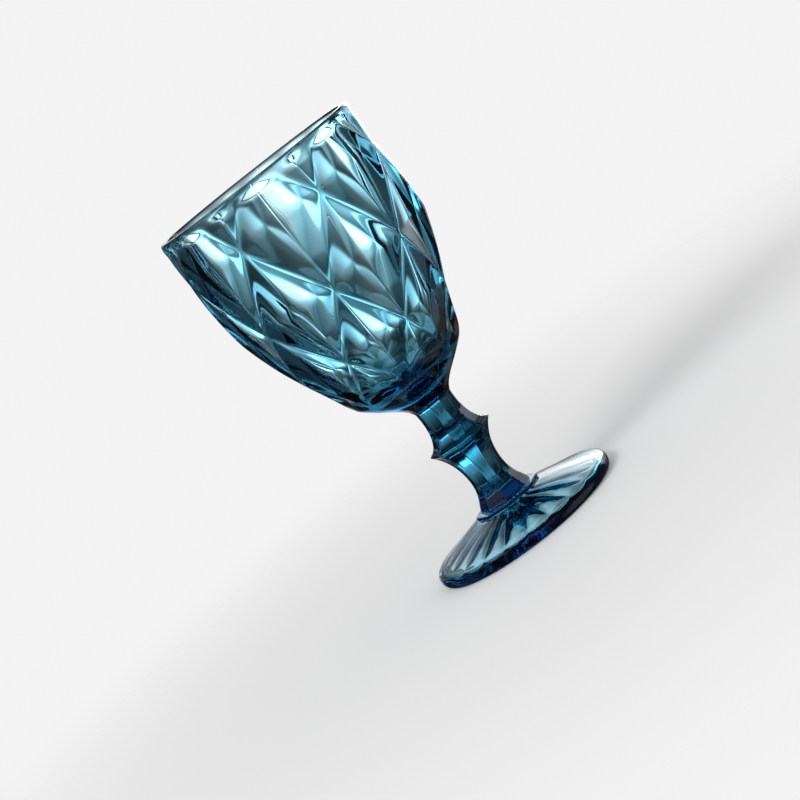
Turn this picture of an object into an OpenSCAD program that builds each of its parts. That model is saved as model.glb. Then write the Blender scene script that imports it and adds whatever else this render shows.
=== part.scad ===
// Pressed-glass goblet with a diamond-pattern bowl, an eight-sided stem with a
// knop and a collar, and a round foot fluted underneath. The three pieces are
// fused face to face. Millimetres, Z up. The origin is the middle of the resting
// ring, and the mould seam that runs up the goblet faces -Y.

/* [View] */
// Which node to draw

/* [Overall] */
// Height from the table to the rim
total_height = 165; // [150:1:185]
// Height of the top of the foot
foot_height = 12; // [11:0.5:14]
// Length of the stem, collar included
stem_height = 46; // [40:1:56]

/* [Bowl] */
// Largest radius of the bowl, on the ridges
bowl_radius = 44.8; // [40:0.2:50]
// Depth of a diamond's middle under the curve through its corners
facet_depth = 3.6; // [2.6:0.1:4]
// Glass under the bottom of the cavity, above the stem
floor_thickness = 10; // [8:0.5:12]
// Thickness of the rim at its top
rim_thickness = 1.7; // [1:0.1:2]
// Diamonds in one ring
diamonds = 8;

/* [Stem] */
// Radius of the knop, over its corners
knop_radius = 13.7; // [12:0.1:15]
// Radius of the collar, over its corners
collar_radius = 14.3; // [13.5:0.1:15]
// Thickness of the collar
collar_thickness = 1.5; // [1:0.1:2.5]
// Flat sides of the stem
sides = 8;

/* [Foot] */
// Radius of the foot
foot_radius = 38.9; // [36:0.1:44]
// Flutes underneath
flutes = 20;
// Depth of a flute where it is widest
flute_depth = 0.9; // [0.5:0.1:1.2]

/* [Hidden] */
// Glass colours for each node
bowl_colour = [0.16, 0.47, 0.6, 0.45];
stem_colour = [0.1, 0.36, 0.52, 0.6];
foot_colour = [0.14, 0.44, 0.58, 0.5];
// Steps along one side of a diamond, and sides of the smooth turned shapes
steps = 4;
turned_sides = 120;
// Bevel along the edges of the collar
collar_bevel = 0.25;
// How far a cutter runs past the face that it opens
overrun = 1;

bowl_base = foot_height + stem_height;
bowl_height = total_height - bowl_base;
columns = 2 * diamonds * steps;
column_angle = 360 / columns;
row_angle = 180 / diamonds;

// Ridge radius of the bowl, as shares of bowl_height and of bowl_radius
bowl_shares = [
    [0, 0.18], [0.019, 0.207], [0.037, 0.247], [0.056, 0.299], [0.075, 0.356],
    [0.098, 0.427], [0.138, 0.532], [0.187, 0.604], [0.252, 0.682], [0.322, 0.765],
    [0.402, 0.843], [0.477, 0.898], [0.556, 0.942], [0.636, 0.973], [0.72, 0.993],
    [0.785, 1], [0.836, 1], [0.916, 0.989], [0.979, 0.967], [1, 0.955]
];
// Heights of the rings of ridge crossings, the first past the rim
row_shares = [[0, 1.1215], [1, 0.8364], [2, 0.556], [3, 0.3215], [4, 0.1383]];
// How deep the diamonds are against the middle rows, with a plain band at the rim
facet_shares = [[0.5, 0.2], [0.6, 0.75], [1, 0.88], [2, 1], [3, 1], [3.6, 0.75], [4, 0]];
// How far a ridge sags between two corners, and how hollow a facet is, as shares
// of the depth
ridge_sag_share = 0.22;
facet_hollow_share = 0.8;
// Cavity radius, as shares of the cavity's depth and of bowl_radius
cavity_shares = [
    [0, 0.03], [0.006, 0.1], [0.02, 0.2], [0.05, 0.33], [0.103, 0.46], [0.175, 0.555],
    [0.252, 0.632], [0.34, 0.705], [0.423, 0.765], [0.51, 0.817], [0.6, 0.853], [0.69, 0.877],
    [0.76, 0.886], [0.82, 0.891], [0.907, 0.894], [0.975, 0.894]
];
// Stem radius from its foot to the bowl, above the collar, as shares of the
// height up to the knop or from it, and of knop_radius
leg_shares = [
    [0, 0.85], [0.03, 0.81], [0.08, 0.77], [0.14, 0.7], [0.23, 0.615],
    [0.34, 0.562], [0.46, 0.548], [0.58, 0.572], [0.68, 0.615], [0.78, 0.69],
    [0.87, 0.79], [0.94, 0.89], [0.975, 0.95], [1, 1]
];
neck_shares = [
    [0, 1], [0.03, 0.965], [0.07, 0.87], [0.12, 0.8], [0.2, 0.735], [0.3, 0.675],
    [0.45, 0.62], [0.62, 0.588], [0.8, 0.578], [1, 0.588]
];
// Height of the knop's ridge as a share of stem_height
knop_share = 0.645;
// Levels drawn between the ends of each of those curves
leg_levels = 22;
neck_levels = 14;
// Top of the foot, as shares of foot_radius and foot_height, from the edge in
foot_shares = [
    [0.955, 0], [0.972, 0.02], [0.987, 0.075], [0.997, 0.16], [1, 0.25],
    [0.998, 0.32], [0.99, 0.375], [0.978, 0.41], [0.962, 0.438], [0.9, 0.49],
    [0.82, 0.565], [0.74, 0.64], [0.655, 0.728], [0.57, 0.812], [0.48, 0.895],
    [0.42, 0.95], [0.365, 1]
];
// Hollow under the foot in the same shares
hollow_shares = [
    [0, 0.42], [0.15, 0.408], [0.31, 0.372], [0.46, 0.318], [0.6, 0.254],
    [0.74, 0.182], [0.85, 0.115], [0.895, 0.07], [0.92, 0.0]
];
hollow_levels = [0, 0.08, 0.16, 0.25, 0.34, 0.43, 0.52, 0.6, 0.68, 0.75, 0.82, 0.88, 0.895, 0.92];
// How deep the flutes are along the same way out
flute_shares = [[0, 0], [0.1, 0.02], [0.3, 0.18], [0.6, 0.66], [0.7, 0.95], [0.78, 0.85], [0.88, 0]];
flute_steps = 4;

// Smooth curve through a table of [x, y] rows, at x
function row_at(t, x, i = 0) =
    i >= len(t) - 2 || x < t[i + 1][0] ? i : row_at(t, x, i + 1);
function slope_at(t, i) =
    i <= 0 ? (t[1][1] - t[0][1]) / (t[1][0] - t[0][0])
    : i >= len(t) - 1 ? (t[i][1] - t[i - 1][1]) / (t[i][0] - t[i - 1][0])
    : (t[i + 1][1] - t[i - 1][1]) / (t[i + 1][0] - t[i - 1][0]);
function curve(t, x) =
    let (
        i = row_at(t, x),
        span = t[i + 1][0] - t[i][0],
        f = (x - t[i][0]) / span
    )
    t[i][1] * (2 * f * f * f - 3 * f * f + 1)
    + t[i + 1][1] * (3 * f * f - 2 * f * f * f)
    + span * slope_at(t, i) * (f * f * f - 2 * f * f + f)
    + span * slope_at(t, i + 1) * (f * f * f - f * f);
function straight(t, x) = lookup(x, t);

// Share of a circle's radius at an angle on a regular polygon with a corner at 0
function polygon_share(angle, count) =
    let (part = 360 / count, a = angle - part * floor(angle / part))
    cos(part / 2) / cos(a - part / 2);

// How far the glass lies under the curve through the corners at a place u, v on
// the net. The ridges run where u + v or u - v is an even number. Four facets fall
// from the ridges round a diamond to its middle, where the fall is 1.
function facet(u, v) =
    let (
        a = (u + v) / 2 - floor((u + v) / 2),
        b = (u - v) / 2 - floor((u - v) / 2),
        fall = 1 - max(abs(2 * a - 1), abs(2 * b - 1)),
        sag = 1 - pow((2 * a - 1) * (2 * b - 1), 2)
    )
    facet_depth * straight(facet_shares, v)
    * (ridge_sag_share * sag + (1 - ridge_sag_share) * fall * (1 + facet_hollow_share * (1 - fall)));

function bowl_ridge(share) = bowl_radius * curve(bowl_shares, share);

// Rounded lip in the shares of the bowl, from the top down
lip_shares = [[1, 0.9353], [0.9985, 0.9453], [0.9963, 0.9513], [0.9925, 0.9563], [0.9888, 0.9587]];
// Levels below the net, and how far up the bowl the stem's flats fade out
base_levels = [0.122, 0.106, 0.09, 0.075, 0.06, 0.047, 0.035, 0.023, 0.011, 0];
rounding_share = 0.08;
// Rows of the net's rings, close together at the rim and then one for each step
rim_rows = [0.5, 0.6];
first_step = floor(steps * rim_rows[1]) + 1;
last_step = 4 * steps;
net_rows = concat(rim_rows, [for (k = [first_step : last_step]) k / steps]);

// Rings of points of the outside of the bowl, from the rim down: [height, radii]

function lip_ring(row) =
    [bowl_base + bowl_height * row[0], [for (c = [0 : columns - 1]) bowl_radius * row[1]]];
function net_ring(v) =
    let (share = curve(row_shares, v), r = bowl_ridge(share))
    [bowl_base + bowl_height * share, [for (c = [0 : columns - 1]) r - facet(c / steps, v)]];
function base_ring(share) =
    let (r = bowl_ridge(share), t = min(1, share / rounding_share), blend = t * t * (3 - 2 * t))
    [
        bowl_base + bowl_height * share,
        [for (c = [0 : columns - 1])
            r * (blend + (1 - blend) * polygon_share(c * column_angle, sides))]
    ];
// Inside of the bowl, from the middle of its floor up to the rim
floor_height = bowl_base + floor_thickness;
cavity_depth = total_height - floor_height;
mouth_radius = bowl_radius * lip_shares[0][1] - rim_thickness;
function cavity_ring(row) =
    [floor_height + cavity_depth * row[0], [for (c = [0 : columns - 1]) bowl_radius * row[1]]];
cavity_rings = concat(
    [for (row = cavity_shares) cavity_ring(row)],
    [[total_height, [for (c = [0 : columns - 1]) mouth_radius]]]
);
bowl_rings = concat(
    cavity_rings,
    [for (row = lip_shares) lip_ring(row)],
    [for (v = net_rows) net_ring(v)],
    [for (share = base_levels) base_ring(share)]
);
net_start = len(cavity_rings) + len(lip_shares) + len(rim_rows);

// A point of a ring, counted from the seam at -Y
function ring_point(radius, angle, height) =
    [radius * sin(angle), -radius * cos(angle), height];

// Which way to cut the square of ring i and column c, so that ridges stay sharp
function leaning(i, c) =
    let (
        k = i - net_start + first_step,
        cell = floor(k / steps) + floor(c / steps)
    )
    cell % 2 == 0;

// A closed skin over rings of points that all have the same number of columns,
// closed at both ends by a fan about the axis
module skin(rings, count, angle) {
    top = len(rings) - 1;
    middle = len(rings) * count;
    points = concat(
        [for (ring = rings, c = [0 : count - 1]) ring_point(ring[1][c], c * angle, ring[0])],
        [[0, 0, rings[0][0]], [0, 0, rings[top][0]]]
    );
    walls = [
        for (i = [0 : top - 1], c = [0 : count - 1])
            let (
                d = (c + 1) % count,
                p = i * count + c,
                q = i * count + d,
                r = p + count,
                s = q + count
            )
            each (leaning(i, c) ? [[p, s, r], [p, q, s]] : [[p, q, r], [q, s, r]])
    ];
    lid = [for (c = [0 : count - 1]) [(c + 1) % count, c, middle]];
    base = [for (c = [0 : count - 1]) [top * count + c, top * count + (c + 1) % count, middle + 1]];
    polyhedron(points = points, faces = concat(walls, lid, base), convexity = 4);
}

// A closed skin of flat-sided rings, [height, radius over the corners], from the top
module prism_skin(rings, count) {
    top = len(rings) - 1;
    points = [
        for (ring = rings, c = [0 : count - 1])
            ring_point(ring[1], c * 360 / count, ring[0])
    ];
    walls = [
        for (i = [0 : top - 1], c = [0 : count - 1])
            let (d = (c + 1) % count)
            [i * count + c, i * count + d, (i + 1) * count + d, (i + 1) * count + c]
    ];
    lid = [for (c = [0 : count - 1]) count - 1 - c];
    base = [for (c = [0 : count - 1]) top * count + c];
    polyhedron(points = points, faces = concat(walls, [lid, base]), convexity = 4);
}

module bowl() {
    color(bowl_colour) skin(bowl_rings, columns, column_angle);
}

module stem() {
    knop_height = foot_height + stem_height * knop_share;
    leg_base = foot_height + collar_thickness;
    neck_height = bowl_base - knop_height;
    leg_height = knop_height - leg_base;
    color(stem_colour)
        prism_skin(
            concat(
                [for (k = [0 : neck_levels])
                    [
                        bowl_base - neck_height * k / neck_levels,
                        knop_radius * curve(neck_shares, 1 - k / neck_levels)
                    ]],
                [for (k = [1 : leg_levels])
                    [
                        knop_height - leg_height * k / leg_levels,
                        knop_radius * curve(leg_shares, 1 - k / leg_levels)
                    ]],
                [
                    [leg_base - collar_bevel, collar_radius],
                    [foot_height + collar_bevel, collar_radius],
                    [foot_height, collar_radius - collar_bevel]
                ]
            ),
            sides
        );
}

// The hollow under the foot, with its flutes, as a cutter that opens downwards
module fluted_hollow() {
    count = flutes * flute_steps;
    rings = [
        for (level = hollow_levels)
            [level * foot_radius, foot_height * curve(hollow_shares, level), straight(flute_shares, level)]
    ];
    outer = len(rings) - 1;
    points = concat(
        [[0, 0, rings[0][1]]],
        [
            for (i = [1 : outer], c = [0 : count - 1])
                let (
                    f = (c % flute_steps) / flute_steps,
                    lift = flute_depth * rings[i][2] * 4 * f * (1 - f)
                )
                ring_point(rings[i][0], c * 360 / count, rings[i][1] + lift)
        ],
        [for (c = [0 : count - 1]) ring_point(rings[outer][0], c * 360 / count, -overrun)]
    );
    cap = [for (c = [0 : count - 1]) [0, 1 + (c + 1) % count, 1 + c]];
    walls = [
        for (i = [0 : outer - 1], c = [0 : count - 1])
            let (d = (c + 1) % count, p = 1 + i * count)
            each [[p + c, p + d, p + count + c], [p + d, p + count + d, p + count + c]]
    ];
    base = [for (c = [0 : count - 1]) 1 + outer * count + c];
    polyhedron(points = points, faces = concat(cap, walls, [base]), convexity = 6);
}

module foot() {
    color(foot_colour)
        difference() {
            rotate_extrude($fn = turned_sides)
                polygon(concat(
                    [[0, 0]],
                    [for (row = foot_shares) [foot_radius * row[0], foot_height * row[1]]],
                    [[0, foot_height]]
                ));
            fluted_hollow();
        }
}

bowl();
stem();
foot();
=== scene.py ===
import math
import bpy
import numpy as np
from mathutils import Matrix, Vector


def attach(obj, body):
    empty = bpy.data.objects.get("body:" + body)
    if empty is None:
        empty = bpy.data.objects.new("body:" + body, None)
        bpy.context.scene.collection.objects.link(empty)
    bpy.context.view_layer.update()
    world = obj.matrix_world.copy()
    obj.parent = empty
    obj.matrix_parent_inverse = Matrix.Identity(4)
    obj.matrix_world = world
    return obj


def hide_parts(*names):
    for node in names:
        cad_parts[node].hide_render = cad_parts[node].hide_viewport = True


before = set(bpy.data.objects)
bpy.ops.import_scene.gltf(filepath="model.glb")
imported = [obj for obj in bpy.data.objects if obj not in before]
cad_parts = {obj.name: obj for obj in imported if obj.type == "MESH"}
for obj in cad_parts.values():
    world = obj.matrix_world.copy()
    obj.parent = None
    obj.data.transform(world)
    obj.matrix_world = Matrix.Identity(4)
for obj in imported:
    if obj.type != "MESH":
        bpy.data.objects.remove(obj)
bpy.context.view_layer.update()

# Lengths are in millimetres until a mesh is made. Angles count from the mould
# seam, which faces -Y, towards +X.
millimetre = 0.001
columnCount = 320
seamColumns = [-0.6, -0.36, -0.18, 0.18, 0.36, 0.6]  # degrees from each of the two seams


def columnAngles():
    # even steps round the axis, with a few finer ones beside the two seams
    even = np.arange(columnCount) * 360.0 / columnCount
    extra = np.concatenate([np.array(seamColumns) % 360.0, 180.0 + np.array(seamColumns)])
    return np.sort(np.concatenate([even, extra]))


def smoothCurve(table, x):
    # cubic through the rows [x, y] of a table, whose slope at a row is that of
    # the line between its neighbours
    t = np.asarray(table, float)
    xs, ys = t[:, 0], t[:, 1]
    slope = np.empty(len(xs))
    slope[1:-1] = (ys[2:] - ys[:-2]) / (xs[2:] - xs[:-2])
    slope[0] = (ys[1] - ys[0]) / (xs[1] - xs[0])
    slope[-1] = (ys[-1] - ys[-2]) / (xs[-1] - xs[-2])
    x = np.asarray(x, float)
    i = np.clip(np.searchsorted(xs, x, side="right") - 1, 0, len(xs) - 2)
    span = xs[i + 1] - xs[i]
    f = (x - xs[i]) / span
    return (ys[i] * (2 * f**3 - 3 * f**2 + 1) + ys[i + 1] * (3 * f**2 - 2 * f**3)
            + span * slope[i] * (f**3 - 2 * f**2 + f) + span * slope[i + 1] * (f**3 - f**2))


def straightCurve(table, x):
    # straight from row to row of a table
    t = np.asarray(table, float)
    return np.interp(x, t[:, 0], t[:, 1])


# where the mesh has its rings
ringSteps = {
    # shares of the cavity's depth: close round the middle of its floor, wider up
    # the wall, and close below the mouth, so that its shading isn't bent there
    "floor": [0, .001, .0022, .004, .008, .013, .019, .027, .036, .047],
    "wall": (.06, .89, 23, 1.25),  # start, span, count and how much they spread
    "mouth": [.988, .9975, 1],
    "crown": 7, "net": 71, "base": 22,  # counts; the net's lie as close as the columns
    "neck": (26, 1.25), "leg": (34, 1.15),  # count and how much they spread
    "collar": 11, "beside": 0.12, "under": 0.004,  # count, and how far from its corners
    "footTop": 45, "footSlant": .31,  # the foot's height as a share of its radius
    # shares of the foot's radius: where it rests, and the start, end and count
    "rest": [.935, .92, .912, .903, .895], "hollow": (.885, .03, 38),
}

bowlShape = {
    "base": 58.0, "height": 107.0, "radius": 44.8, "diamonds": 8,
    "floor": 68.0, "rim": 1.7, "crownRise": 0.2,  # the rise as a share of half the rim
    # the sag and the hollow are shares of the facets' depth
    "facetDepth": 3.6, "facetHollow": 0.8, "ridgeSag": 0.22,
    "ridgeRounding": 0.05, "creaseRounding": 0.06,
    # shares of the height and of the radius: the ridges and, from the top, the lip
    "ridge": [[0, .18], [.019, .207], [.037, .247], [.056, .299], [.075, .356], [.098, .427],
              [.138, .532], [.187, .604], [.252, .682], [.322, .765], [.402, .843], [.477, .898],
              [.556, .942], [.636, .973], [.72, .993], [.785, 1], [.836, 1], [.916, .989],
              [.979, .967], [1, .955]],
    "lip": [[1, .9353], [.9985, .9453], [.9963, .9513], [.9925, .9563], [.9888, .9587]],
    # rows of the net, counted down, by their share of the height and how deep
    # their facets are
    "rows": [[0, 1.1215], [1, .8364], [2, .556], [3, .3215], [4, .1383]],
    "facets": [[.5, .2], [.6, .75], [1, .88], [2, 1], [3, 1], [3.6, .75], [4, 0]],
    # shares of the cavity's depth and of the radius
    "cavity": [[0, .03], [.006, .1], [.02, .2], [.05, .33], [.103, .46], [.175, .555],
               [.252, .632], [.34, .705], [.423, .765], [.51, .817], [.6, .853], [.69, .877],
               [.76, .886], [.82, .891], [.907, .894], [.975, .894]],
    "flatsFrom": 0.08,  # the stem's flats start below this share of the height
}


def mouthRadius(shape):
    # the lip's radius at the top, less the rim
    return shape["radius"] * shape["lip"][0][1] - shape["rim"]


def cavityRings(shape, angles):
    # inside of the bowl, turned, from the middle of its floor up to the mouth
    depth = shape["base"] + shape["height"] - shape["floor"]
    table = shape["cavity"] + [[1, mouthRadius(shape) / shape["radius"]]]
    start, span, count, spread = ringSteps["wall"]
    wall = start + span * np.linspace(0, 1, count) ** spread
    share = np.concatenate([ringSteps["floor"], wall, ringSteps["mouth"]])
    r = shape["radius"] * smoothCurve(table, share)
    z = shape["floor"] + depth * share
    return z, np.repeat(r[:, None], len(angles), 1)


def rimRings(shape):
    # the crown of the rim, half a wave from the mouth outwards, and the lip
    half = shape["rim"] / 2
    crown = np.linspace(0, math.pi, ringSteps["crown"] + 2)[1:-1]
    rise = half * shape["crownRise"]
    crownZ = shape["base"] + shape["height"] - rise + rise * np.sin(crown)
    crownR = mouthRadius(shape) + half - half * np.cos(crown)
    share, reach = np.array(shape["lip"][1:]).T
    lipZ, lipR = shape["base"] + shape["height"] * share, shape["radius"] * reach
    return np.concatenate([crownZ, lipZ]), np.concatenate([crownR, lipR])


def netRings(shape, angles):
    # outside of the bowl: the radius of the ridges, less the fall of the facets
    rimZ, rimR = rimRings(shape)
    v = np.linspace(shape["facets"][0][0], shape["rows"][-1][0], ringSteps["net"])
    share = smoothCurve(shape["rows"], v)
    ridge = shape["radius"] * smoothCurve(shape["ridge"], share)
    u = angles * 2 * shape["diamonds"] / 360.0
    a = np.mod((u[None, :] + v[:, None]) / 2, 1.0)
    b = np.mod((u[None, :] - v[:, None]) / 2, 1.0)
    # four facets run from a diamond's ridges down to its middle: x and y count
    # from 0 on a pair of ridges to 1 halfway, and the lower of them is the fall
    x, y = 1 - abs(2 * a - 1), 1 - abs(2 * b - 1)
    k = shape["creaseRounding"]
    fall = (x + y - np.sqrt((x - y) ** 2 + k * k * x * y)) / 2
    e = shape["ridgeRounding"]
    fall = (np.sqrt(fall * fall + e * e) - e) / (math.sqrt(1 + e * e) - e)
    fall = fall * (1 + shape["facetHollow"] * (1 - fall))
    # the ridges run straight from node to node, so they sag under the curve
    sag = 1 - (1 - 4 * a * (1 - a)) * (1 - 4 * b * (1 - b))
    depth = shape["facetDepth"] * straightCurve(shape["facets"], v)[:, None]
    r = ridge[:, None] - depth * (shape["ridgeSag"] * sag + (1 - shape["ridgeSag"]) * fall)
    z = shape["base"] + shape["height"] * share
    radii = np.concatenate([np.repeat(rimR[:, None], len(angles), 1), r])
    return np.concatenate([rimZ, z]), radii


stemShape = {
    "base": 12.0, "height": 46.0, "knop": 13.7, "knopAt": .645,
    "sides": 8, "rounding": 3.0, "cornerCut": 0.16,
    "collar": 14.3, "collarThickness": 1.5, "collarRounding": 0.9, "collarFullness": 0.6,
    # shares of the way up to the knop, or on from it, and of the knop's radius
    "leg": [[0, .85], [.03, .81], [.08, .77], [.14, .7], [.23, .615], [.34, .562], [.46, .548],
            [.58, .572], [.68, .615], [.78, .69], [.87, .79], [.94, .89], [.975, .95], [1, 1]],
    "neck": [[0, 1], [.03, .965], [.07, .87], [.12, .8], [.2, .735], [.3, .675], [.45, .62],
             [.62, .588], [.8, .578], [1, .588]],
}


def flatSides(angles, shape):
    # radius of a polygon with a corner at angle 0, as a share of the radius
    # over its corners, which are cut by a bell curve of the angle to them
    part = 360.0 / shape["sides"]
    a = np.mod(angles, part)
    half = math.radians(part / 2)
    near = np.radians(a - part / 2)
    flat = math.cos(half) / np.cos(near)
    off = np.minimum(a, part - a) / shape["rounding"]
    return flat - (1 - math.cos(half)) * shape["cornerCut"] * np.exp(-off * off)


def baseRings(shape, angles, stem):
    # below the net: turned at the top, fading into the stem's flats
    share = np.linspace(shape["rows"][-1][1], 0, ringSteps["base"] + 1)[1:]
    r = shape["radius"] * smoothCurve(shape["ridge"], share)
    t = np.minimum(1, share / shape["flatsFrom"])
    blend = (t * t * (3 - 2 * t))[:, None]
    radii = r[:, None] * (blend + (1 - blend) * flatSides(angles, stem)[None, :])
    return shape["base"] + shape["height"] * share, radii


def stemRings(shape, angles):
    # neck, knop, leg and collar, each a curve of the height, eight-sided from
    # end to end; the collar's edge is half a wave, made fuller by a power
    top = shape["base"] + shape["height"]
    knopZ = shape["base"] + shape["height"] * shape["knopAt"]
    legZ = shape["base"] + shape["collarThickness"]
    count, spread = ringSteps["neck"]
    neckShare = np.linspace(1, 0, count + 1)[1:] ** spread
    neckZ = knopZ + (top - knopZ) * neckShare
    neckR = shape["knop"] * smoothCurve(shape["neck"], neckShare)
    count, spread = ringSteps["leg"]
    legShare = 1 - (1 - np.linspace(1, 0, count + 1)[1:]) ** spread
    legHeights = legZ + (knopZ - legZ) * legShare
    legR = shape["knop"] * smoothCurve(shape["leg"], legShare)
    a = np.linspace(0, math.pi, ringSteps["collar"])
    half = shape["collarThickness"] / 2
    collarZ = shape["base"] + half + half * np.cos(a)
    rounding = half * shape["collarRounding"] * (1 - np.sin(a) ** shape["collarFullness"])
    collarR = shape["collar"] - rounding
    # a ring close beside each inner corner keeps the flats next to it even
    beside, under = ringSteps["beside"], ringSteps["under"]
    heights = np.concatenate([neckZ, legHeights, [legZ], collarZ, [shape["base"] - under]])
    r = np.concatenate([neckR, legR, [legR[-1] + beside], collarR, [collarR[-1] + beside]])
    return heights, r[:, None] * flatSides(angles, shape)[None, :]


footShape = {
    "radius": 38.9, "height": 12.0, "flutes": 20, "fluteDepth": 0.9,
    # shares of the radius and of the height, or of the flutes' depth
    "top": [[.955, 0], [.972, .02], [.987, .075], [.997, .16], [1, .25], [.998, .32],
            [.99, .375], [.978, .41], [.962, .438], [.9, .49], [.82, .565], [.74, .64],
            [.655, .728], [.57, .812], [.48, .895], [.42, .95], [.365, 1]],
    "hollow": [[0, .53], [.15, .505], [.31, .452], [.46, .385], [.6, .305], [.74, .215],
               [.85, .13], [.895, .075], [.92, 0]],
    "fluteShare": [[0, 0], [.1, .05], [.25, .45], [.4, .85], [.5, 1], [.62, .95], [.76, .6],
                   [.88, 0]],
}


def footRings(shape, angles):
    # a turned cone down to a rounded edge, in even steps along its outline, then
    # the hollow inwards, lifted by a parabola across each flute
    table = np.array(shape["top"][::-1])
    steps = np.hypot(*np.diff(table, axis=0).T * [[1], [ringSteps["footSlant"]]])
    steps = np.concatenate([[0], np.cumsum(steps)])
    along = np.linspace(0, steps[-1], ringSteps["footTop"] + 1)[1:]
    r = smoothCurve(np.c_[steps, table[:, 0]], along) * shape["radius"]
    z = np.maximum(smoothCurve(np.c_[steps, table[:, 1]], along), 0) * shape["height"]
    level = np.concatenate([ringSteps["rest"], np.linspace(*ringSteps["hollow"])])
    edge = shape["hollow"][-1][0]
    hollow = smoothCurve(shape["hollow"], np.minimum(level, edge))
    hollow = np.maximum(np.where(level < edge, shape["height"] * hollow, 0), 0)
    part = 360.0 / shape["flutes"]
    f = np.mod(angles, part) / part
    lift = 4 * f * (1 - f)
    depth = shape["fluteDepth"] * straightCurve(shape["fluteShare"], level)
    lifted = hollow[:, None] + depth[:, None] * lift[None, :]
    heights = np.concatenate([np.repeat(z[:, None], len(angles), 1), lifted])
    radii = np.concatenate([r, level * shape["radius"]])
    return heights, np.repeat(radii[:, None], len(angles), 1)


seamShape = {"height": 0.12, "width": 0.22}


def seamLift(radii, angles, shape):
    # a low round ridge where the mould's halves met, as wide everywhere
    across = radii * np.sin(np.radians(angles))[None, :]
    return shape["height"] * np.exp(-(across / shape["width"]) ** 2)


def addObject(name, data):
    thing = bpy.data.objects.new(name, data)
    bpy.context.scene.collection.objects.link(thing)
    return thing


def closedSkin(name, heights, radii, angles, startZ, endZ):
    # points (r sin, -r cos, z) on a grid of rings and columns, with a fan to a
    # point on the axis at both ends
    rings, count = radii.shape
    around = np.radians(angles)[None, :]
    x, y = radii * np.sin(around), -radii * np.cos(around)
    points = np.stack([x, y, heights], 2).reshape(-1, 3)
    points = np.concatenate([points, [[0, 0, startZ], [0, 0, endZ]]]) * millimetre
    i = np.arange(rings - 1)[:, None] * count
    c = np.arange(count)[None, :]
    d = (c + 1) % count
    quads = np.stack([i + c, i + count + c, i + count + d, i + d], 2).reshape(-1, 4)
    # a quad is split along the diagonal that stands out, so a ridge stays straight
    near = np.roll(radii, -1, 1)
    other = (radii[1:] + near[:-1] > radii[:-1] + near[1:] + 1e-9).reshape(-1)
    quads[other] = np.roll(quads[other], 1, 1)
    c, d = c[0], d[0]
    first = np.stack([c, d, np.full(count, rings * count)], 1)
    last = (rings - 1) * count
    end = np.stack([last + d, last + c, np.full(count, rings * count + 1)], 1)
    mesh = bpy.data.meshes.new(name)
    mesh.from_pydata(points, [], quads.tolist() + first.tolist() + end.tolist())
    mesh.validate()
    mesh.shade_smooth()
    return addObject(name, mesh)


def gobletSkin():
    # cavity, outside of the bowl, stem and foot in one run of rings
    angles = columnAngles()
    parts = [
        cavityRings(bowlShape, angles),
        netRings(bowlShape, angles),
        baseRings(bowlShape, angles, stemShape),
        stemRings(stemShape, angles),
        footRings(footShape, angles),
    ]
    grids = [np.broadcast_to(z if z.ndim == 2 else z[:, None], r.shape) for z, r in parts]
    heights = np.concatenate(grids)
    radii = np.concatenate([r for _, r in parts])
    # the seam is on the outside alone, and never past the widest ring
    outside = np.ones(len(radii), bool)
    outside[:len(parts[0][0]) + ringSteps["crown"]] = False
    outside[-len(ringSteps["rest"]) - ringSteps["hollow"][2]:] = False
    lifted = radii + np.where(outside[:, None], seamLift(radii, angles, seamShape), 0)
    radii = np.maximum(radii, np.minimum(lifted, radii[:, 0].max()))
    return closedSkin("goblet", heights, radii, angles, bowlShape["floor"],
                      footShape["height"] * footShape["hollow"][0][1])


def newMaterial(name):
    material = bpy.data.materials.new(name)
    material.use_nodes = True
    return material, material.node_tree


def setInputs(node, values):
    for name, value in values.items():
        node.inputs[name].default_value = value


def mathNode(tree, operation, *values):
    # each value is a number or the socket that it comes from
    node = tree.nodes.new("ShaderNodeMath")
    node.operation = operation
    for socket, value in zip(node.inputs, values):
        if isinstance(value, (int, float)):
            socket.default_value = value
        else:
            tree.links.new(value, socket)
    return node.outputs[0]


def rangeNode(tree, value, start, end, levels=(0, 1), kind="LINEAR"):
    # from the first level to the second while the value goes from start to end
    node = tree.nodes.new("ShaderNodeMapRange")
    node.interpolation_type = kind
    setInputs(node, {"From Min": start, "From Max": end, "To Min": levels[0], "To Max": levels[1]})
    tree.links.new(value, node.inputs["Value"])
    return node.outputs["Result"]


glassLook = {
    "ior": 1.52, "colour": (0.1, 0.69, 0.83), "density": 215.0,
    # waves the mould left: per metre, their height in metres, and the polish
    "waves": 90.0, "waveHeight": 0.00001, "roughness": 0.004,
}


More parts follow.
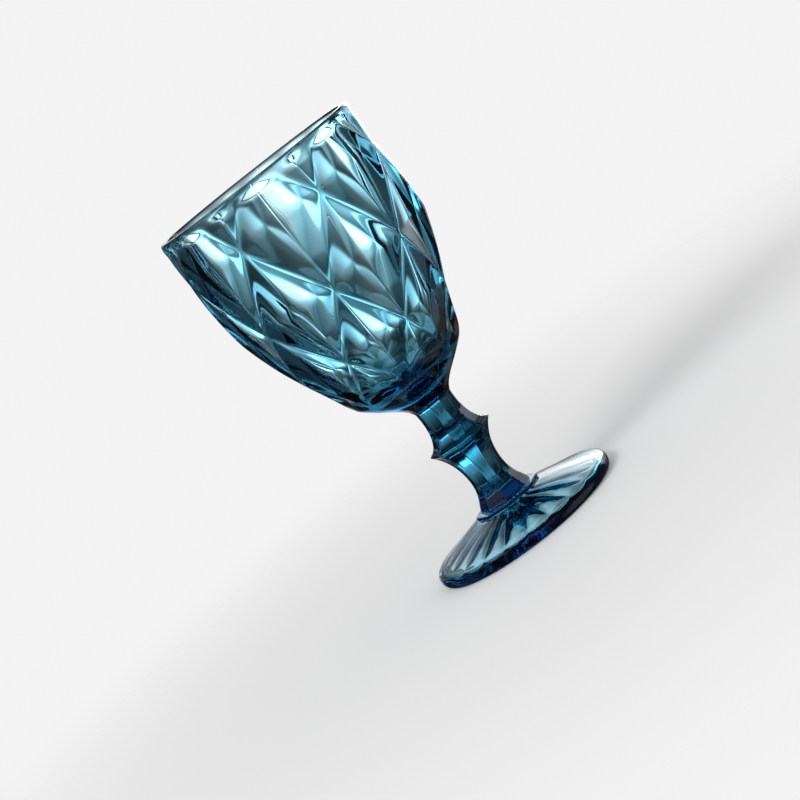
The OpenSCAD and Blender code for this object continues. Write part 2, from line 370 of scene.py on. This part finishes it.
def mouldWaves():
    # a group that puts out the normal and the roughness of pressed glass
    group = bpy.data.node_groups.new("mouldWaves", "ShaderNodeTree")
    sockets = [("INPUT", "Place", "Vector"), ("INPUT", "Waves", "Float"),
               ("INPUT", "Height", "Float"), ("INPUT", "Roughness", "Float"),
               ("OUTPUT", "Normal", "Vector"), ("OUTPUT", "Roughness", "Float")]
    for way, name, kind in sockets:
        group.interface.new_socket(name, in_out=way, socket_type="NodeSocket" + kind)
    given = group.nodes.new("NodeGroupInput").outputs
    out = group.nodes.new("NodeGroupOutput").inputs
    noise = group.nodes.new("ShaderNodeTexNoise")
    noise.inputs["Detail"].default_value = 1.0
    bump = group.nodes.new("ShaderNodeBump")
    group.links.new(given["Place"], noise.inputs["Vector"])
    group.links.new(given["Waves"], noise.inputs["Scale"])
    group.links.new(noise.outputs["Fac"], bump.inputs["Height"])
    group.links.new(given["Height"], bump.inputs["Distance"])
    group.links.new(bump.outputs["Normal"], out["Normal"])
    # the polish is half to one and a half times the value given
    worn = mathNode(group, "ADD", noise.outputs["Fac"], 0.5)
    group.links.new(mathNode(group, "MULTIPLY", worn, given["Roughness"]), out["Roughness"])
    return group


def blueGlass(look):
    # clear at the surface, with a colour that deepens with the glass's thickness
    material, tree = newMaterial("blueGlass")
    principled = tree.nodes["Principled BSDF"]
    setInputs(principled, {"Base Color": (1, 1, 1, 1), "IOR": look["ior"],
                           "Transmission Weight": 1.0})
    waves = tree.nodes.new("ShaderNodeGroup")
    waves.node_tree = mouldWaves()
    setInputs(waves, {"Waves": look["waves"], "Height": look["waveHeight"],
                      "Roughness": look["roughness"]})
    coords = tree.nodes.new("ShaderNodeTexCoord")
    tree.links.new(coords.outputs["Object"], waves.inputs["Place"])
    tree.links.new(waves.outputs["Normal"], principled.inputs["Normal"])
    tree.links.new(waves.outputs["Roughness"], principled.inputs["Roughness"])
    absorb = tree.nodes.new("ShaderNodeVolumeAbsorption")
    setInputs(absorb, {"Color": (*look["colour"], 1), "Density": look["density"]})
    tree.links.new(absorb.outputs[0], tree.nodes["Material Output"].inputs["Volume"])
    return material


goblet = gobletSkin()
goblet.data.materials.append(blueGlass(glassLook))
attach(goblet, "root")
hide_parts("bowl", "stem", "foot")
print("goblet skin:", len(goblet.data.vertices), "points,", len(goblet.data.polygons), "faces")

cameraPlace = {
    # degrees, and its place in millimetres before the turn carries it round
    "turn": 3.7, "yaw": 0.578, "pitch": -8.151, "roll": 38.315,
    "place": (0.0, -883.03, 192.73),
    "focal": 2417.75 / 800, "sensor": 36.0,  # a share of the picture's width, millimetres
    "near": 0.05,  # metres
}


def turning(degrees, start, towards):
    # a turn from one of the three axes towards another
    turn, angle = np.eye(3), math.radians(degrees)
    turn[start, start] = turn[towards, towards] = math.cos(angle)
    turn[towards, start], turn[start, towards] = math.sin(angle), -math.sin(angle)
    return turn


def photoCamera(look):
    # a camera that looks along +Y, rolled, then pitched, then turned, and
    # carried round the goblet's axis to face the seam as in the photograph
    carried = turning(look["turn"], 0, 1)
    axes = (carried @ turning(look["yaw"], 0, 1) @ turning(look["pitch"], 1, 2)
            @ turning(look["roll"], 2, 0))
    place = carried @ np.array(look["place"]) * millimetre
    data = bpy.data.cameras.new("photoCamera")
    data.sensor_width = look["sensor"]
    data.lens = look["focal"] * look["sensor"]
    data.clip_start = look["near"]
    camera = addObject("photoCamera", data)
    right, ahead, up = axes.T
    rows = [[right[i], up[i], -ahead[i], place[i]] for i in range(3)]
    camera.matrix_world = Matrix(rows + [[0, 0, 0, 1]])
    bpy.context.scene.camera = camera
    return ahead


ahead = photoCamera(cameraPlace)
print("camera placed")

studioLook = {
    "up": (0.6228, -0.0229, 0.782),  # the photograph's upright, seen from the goblet
    # brightness of the background, of what lights matt surfaces and of the room
    # that gloss shows
    "pale": 0.9, "plain": 0.7, "room": 0.05,
    # soft panels in that room, by their turn round the upright from the middle of
    # the background, their height, how far they reach and how bright they are,
    # and the share of their reach where they are full
    "panels": [[105, 10, 32, 0.4], [-105, 10, 32, 0.4], [180, 20, 38, 0.15]], "full": 0.4,
    # what shows through the glass: dark behind the card and light elsewhere, the
    # more so higher up; the dark by its direction and the angles it ends between
    "dark": 0.02, "light": 0.45, "higher": 0.2, "darkToward": (-8, -3), "darkEnds": (42, 66),
    "turned": 0.03,  # the share kept of light that reflections in the glass have turned
    # light from the floor beside the table: its turn and height, the angles that
    # it ends between, and its brightness
    "floorGlow": (45, -50, 12, 32, 0.42),
}


def photoDirections(up, ahead):
    # the photograph's right, depth and upright, as directions
    up = np.array(up) / np.linalg.norm(up)
    back = ahead - up * (ahead @ up)
    back /= np.linalg.norm(back)
    return np.cross(back, up), back, up


def studioWorld(look, directions):
    # the camera sees one pale colour and matt surfaces a plain level; glass and
    # its gloss see a dimmer room with a few soft panels
    side, back, up = directions
    world = bpy.data.worlds.new("studio")
    bpy.context.scene.world = world
    world.use_nodes = True
    tree = world.node_tree
    tree.nodes.clear()
    path = tree.nodes.new("ShaderNodeLightPath").outputs
    coords = tree.nodes.new("ShaderNodeTexCoord")

    def along(turn, rise):
        # cosine of the angle to a direction
        t, e = math.radians(turn), math.radians(rise)
        toward = (back * math.cos(t) + side * math.sin(t)) * math.cos(e) + up * math.sin(e)
        dot = tree.nodes.new("ShaderNodeVectorMath")
        dot.operation = "DOT_PRODUCT"
        tree.links.new(coords.outputs["Generated"], dot.inputs[0])
        dot.inputs[1].default_value = toward
        return dot.outputs["Value"]

    def patch(turn, rise, inner, outer, level):
        # full up to one angle from its middle and gone at another
        start, end = math.cos(math.radians(outer)), math.cos(math.radians(inner))
        return rangeNode(tree, along(turn, rise), start, end, (0, level), "SMOOTHSTEP")

    panels = 0.0
    for turn, rise, reach, level in look["panels"]:
        panel = patch(turn, rise, reach * look["full"], reach, level)
        panels = mathNode(tree, "ADD", panel, panels)
    plain = mathNode(tree, "MULTIPLY_ADD", along(0, 90), look["higher"], look["light"])
    unlit = patch(*look["darkToward"], *look["darkEnds"], 1.0)
    unlit = mathNode(tree, "SUBTRACT", 1.0, unlit)
    turned = mathNode(tree, "MINIMUM", path["Glossy Depth"], 1.0)
    straight = mathNode(tree, "MULTIPLY_ADD", turned, look["turned"] - 1, 1.0)
    through = mathNode(tree, "MULTIPLY_ADD", unlit, plain, panels)
    through = mathNode(tree, "MULTIPLY_ADD", through, straight, look["dark"])
    through = mathNode(tree, "ADD", through, patch(*look["floorGlow"]))
    gloss = mathNode(tree, "ADD", panels, look["room"])
    level = mathNode(tree, "MULTIPLY", through, path["Is Transmission Ray"])
    for ray, seen in (("Is Glossy Ray", gloss), ("Is Camera Ray", look["pale"]),
                      ("Is Diffuse Ray", look["plain"])):
        level = mathNode(tree, "ADD", level, mathNode(tree, "MULTIPLY", path[ray], seen))
    glow = tree.nodes.new("ShaderNodeBackground")
    glow.inputs["Color"].default_value = (1, 1, 1, 1)
    tree.links.new(level, glow.inputs["Strength"])
    out = tree.nodes.new("ShaderNodeOutputWorld")
    tree.links.new(glow.outputs[0], out.inputs["Surface"])


def stageSheet(name, corners, place, material):
    # one flat face, a part of the studio
    mesh = bpy.data.meshes.new(name)
    mesh.from_pydata(corners, [], [(0, 1, 2, 3)])
    mesh.materials.append(material)
    sheet = addObject(name, mesh)
    sheet.matrix_world = place
    return sheet


def glassOnly(sheet):
    # shown by the glass alone, not to the camera or matt surfaces, and no shadow
    sheet.visible_camera = False
    sheet.visible_diffuse = False
    sheet.visible_shadow = False


def fadeAway(tree, middle, fade, steep=None):
    # the surface turns clear between two distances from its middle and, with
    # steep, where it is looked at from above rather than along it
    coords = tree.nodes.new("ShaderNodeTexCoord")
    away = tree.nodes.new("ShaderNodeVectorMath")
    away.operation = "DISTANCE"
    away.inputs[1].default_value = middle
    tree.links.new(coords.outputs["Object"], away.inputs[0])
    share = rangeNode(tree, away.outputs["Value"], *fade, kind="SMOOTHSTEP")
    if steep:
        facing = tree.nodes.new("ShaderNodeLayerWeight")
        above = rangeNode(tree, facing.outputs["Facing"], *steep, (1, 0))
        share = mathNode(tree, "MAXIMUM", share, above)
    clear = tree.nodes.new("ShaderNodeBsdfTransparent")
    mix = tree.nodes.new("ShaderNodeMixShader")
    tree.links.new(share, mix.inputs[0])
    tree.links.new(tree.nodes["Principled BSDF"].outputs[0], mix.inputs[1])
    tree.links.new(clear.outputs[0], mix.inputs[2])
    tree.links.new(mix.outputs[0], tree.nodes["Material Output"].inputs["Surface"])


tableLook = {
    # metres: its middle, to the side and along the view, the distances that it
    # fades between and its sharp far edge; and the facing that it clears between
    "middle": (0.02, 0.14), "fade": (0.15, 0.28), "farEdge": 0.3, "steep": (0.28, 0.42),
    "tone": 0.03, "roughness": 0.05,
}


def darkTable(look, place):
    # a dark glossy table under the tilted foot
    material, tree = newMaterial("darkTable")
    setInputs(tree.nodes["Principled BSDF"], {"Base Color": (look["tone"],) * 3 + (1,),
                                              "Roughness": look["roughness"]})
    x, y = look["middle"]
    fadeAway(tree, (x, y, 0), look["fade"], look["steep"])
    w, far = look["fade"][1], look["farEdge"]
    corners = [(x - w, y - w, 0), (x + w, y - w, 0), (x + w, far, 0), (x - w, far, 0)]
    glassOnly(stageSheet("darkTable", corners, place, material))


cardLook = {
    "away": 0.7, "side": 0.6, "low": -0.35, "high": 0.7,  # metres
    # painted patches of light that it glows with: brightness by the height above the
    # table, and its share by the way to the side, both in metres
    "patches": [
        [[[-.35, .08], [-.1, .12], [-.02, .3], [.05, .65], [.11, 1.4], [.18, 2.5], [.28, 2.5],
          [.4, 1], [.5, 0]],
         [[-.6, 0], [-.4, .3], [-.25, .8], [-.12, 1], [-.02, 1], [.08, .9], [.14, .4],
          [.25, .15], [.6, .1]]],
        [[[.1, 0], [.17, .5], [.22, 2.2], [.28, 3.8], [.4, 4], [.5, 1.5], [.6, 0]],
         [[-.08, 0], [-.01, 1], [.08, 1], [.15, 0]]],
        [[[.25, 0], [.38, 1.1], [.55, 1.3], [.7, .8]],
         [[.06, 0], [.18, .6], [.3, 1], [.5, 1], [.6, .6]]],
    ],
}


def rowsRamp(tree, place, rows):
    # straight from one row [place, level] to the next: places are fitted to the
    # ramp's 0 to 1, and levels to the highest
    top = max(level for _, level in rows)
    start, end = rows[0][0], rows[-1][0]
    ramp = tree.nodes.new("ShaderNodeValToRGB")
    stops = ramp.color_ramp.elements
    while len(stops) < len(rows):
        stops.new(.5)
    for stop, (at, level) in zip(stops, rows):
        stop.position = (at - start) / (end - start)
        stop.color = (level / top,) * 3 + (1,)
    tree.links.new(rangeNode(tree, place, start, end), ramp.inputs["Fac"])
    return mathNode(tree, "MULTIPLY", ramp.outputs["Color"], top)


def glowingCard(look, place):
    # a card at the back of the table that glows with painted light; no lamp lights it
    material, tree = newMaterial("glowingCard")
    tree.nodes.clear()
    coords = tree.nodes.new("ShaderNodeTexCoord")
    split = tree.nodes.new("ShaderNodeSeparateXYZ")
    tree.links.new(coords.outputs["Object"], split.inputs[0])
    level = 0.0
    for heights, sides in look["patches"]:
        tall = rowsRamp(tree, split.outputs["Z"], heights)
        wide = rowsRamp(tree, split.outputs["X"], sides)
        level = mathNode(tree, "ADD", mathNode(tree, "MULTIPLY", tall, wide), level)
    # painted light: the card glows with its patches instead of being lit by a lamp
    glow = tree.nodes.new("ShaderNodeEmission")
    tree.links.new(level, glow.inputs["Strength"])
    out = tree.nodes.new("ShaderNodeOutputMaterial")
    tree.links.new(glow.outputs[0], out.inputs["Surface"])
    w, y, low, high = look["side"], look["away"], look["low"], look["high"]
    corners = [(-w, y, low), (w, y, low), (w, y, high), (-w, y, high)]
    glassOnly(stageSheet("glowingCard", corners, place, material))


def tablePlace(directions, piece):
    # the photograph's directions, at the height of the piece's lowest point
    up = directions[2]
    points = np.empty(len(piece.data.vertices) * 3)
    piece.data.vertices.foreach_get("co", points)
    drop = up * (points.reshape(-1, 3) @ up).min()
    return Matrix(np.c_[np.array(directions).T, drop].tolist() + [[0, 0, 0, 1]])


directions = photoDirections(studioLook["up"], ahead)
studioWorld(studioLook, directions)
under = tablePlace(directions, goblet)
darkTable(tableLook, under)
glowingCard(cardLook, under)
print("what the glass shows is in place")

floorLook = {"tone": 0.86, "roughness": 0.7, "specular": 0.1, "fade": (0.12, 0.42), "reach": 0.45}


def paleFloor(look):
    # a pale sheet that fades into the background with distance from the goblet,
    # so that no edge or horizon shows; it keeps the shadow
    material, tree = newMaterial("paleFloor")
    setInputs(tree.nodes["Principled BSDF"], {"Base Color": (look["tone"],) * 3 + (1,),
                                              "Roughness": look["roughness"],
                                              "Specular IOR Level": look["specular"]})
    fadeAway(tree, (0, 0, 0), look["fade"])
    s = look["reach"]
    corners = [(-s, -s, 0), (s, -s, 0), (s, s, 0), (-s, s, 0)]
    floor = stageSheet("floor", corners, Matrix(), material)
    floor.visible_transmission = False
    floor.visible_glossy = False


lampLook = {"place": (-0.9, -0.8, 1.1), "aim": (0, 0, .08), "size": (0.6, 0.6), "power": 9}


def softLamp(name, look):
    # a square of light that gloss and glass don't show
    data = bpy.data.lights.new(name, "AREA")
    data.shape = "RECTANGLE"
    data.size, data.size_y = look["size"]
    data.energy = look["power"]
    lamp = addObject(name, data)
    lamp.location = look["place"]
    toward = Vector(look["aim"]) - Vector(look["place"])
    lamp.rotation_euler = toward.to_track_quat("-Z", "Y").to_euler()
    lamp.visible_glossy = False
    lamp.visible_transmission = False


paleFloor(floorLook)
softLamp("keyLamp", lampLook)
print("studio lit")

bpy.context.scene.view_settings.view_transform = "Standard"
